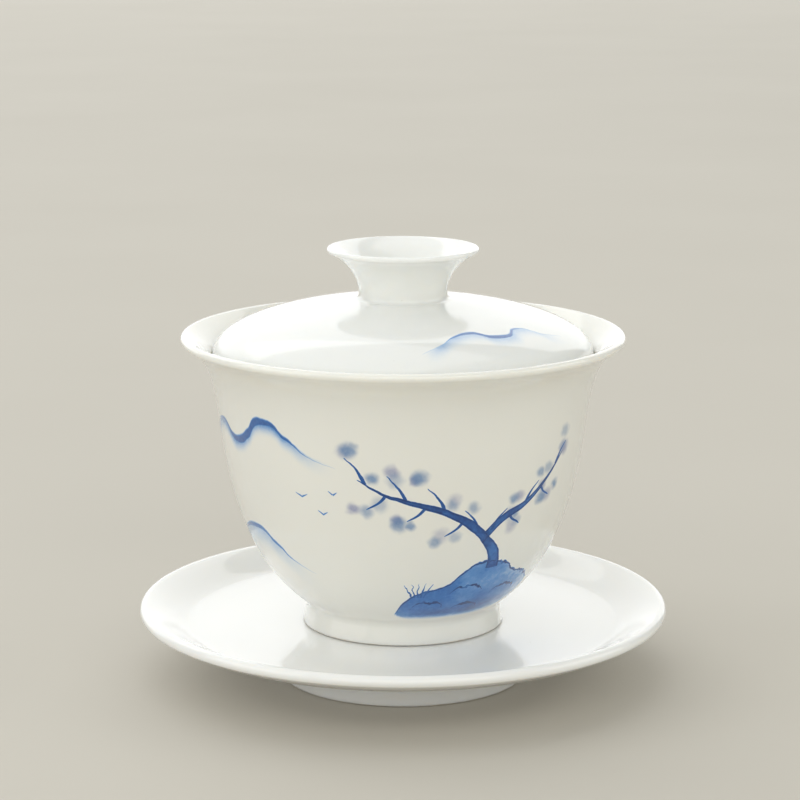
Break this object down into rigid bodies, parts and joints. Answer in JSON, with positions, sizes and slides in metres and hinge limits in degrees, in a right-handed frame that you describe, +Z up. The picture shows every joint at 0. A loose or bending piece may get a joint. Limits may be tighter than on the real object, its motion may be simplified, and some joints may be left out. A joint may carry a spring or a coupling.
{
  "type": "gaiwan",
  "caption": "Lidded porcelain tea bowl with a flared rim, a foot ring, a domed lid with a hollow knob, and a shallow saucer, painted in blue.",
  "frame": {"origin": "middle of the saucer's foot ring, on the surface it stands on", "axes": "+Z up along the common axis of saucer, bowl and lid; -Y faces the painted side of the bowl"},
  "size_m": [0.116, 0.116, 0.0955],
  "materials": {
    "saucer_porcelain": "clear gloss glaze over white porcelain, bare foot ring",
    "bowl_porcelain": "clear gloss glaze over white porcelain with a landscape in underglaze blue, bare foot ring",
    "lid_porcelain": "clear gloss glaze over white porcelain with a little underglaze blue"
  },
  "bodies": {
    "saucer": {"saucer": "saucer_porcelain"},
    "bowl": {"bowl": "bowl_porcelain"},
    "lid": {"lid": "lid_porcelain"}
  },
  "joints": [
    {"name": "bowl_lift", "type": "slide", "parent": "saucer", "child": "bowl", "axis": [0, 0, 1], "range_m": [0, 0.1]},
    {"name": "lid_lift", "type": "slide", "parent": "bowl", "child": "lid", "axis": [0, 0, 1], "range_m": [0, 0.12]}
  ]
}
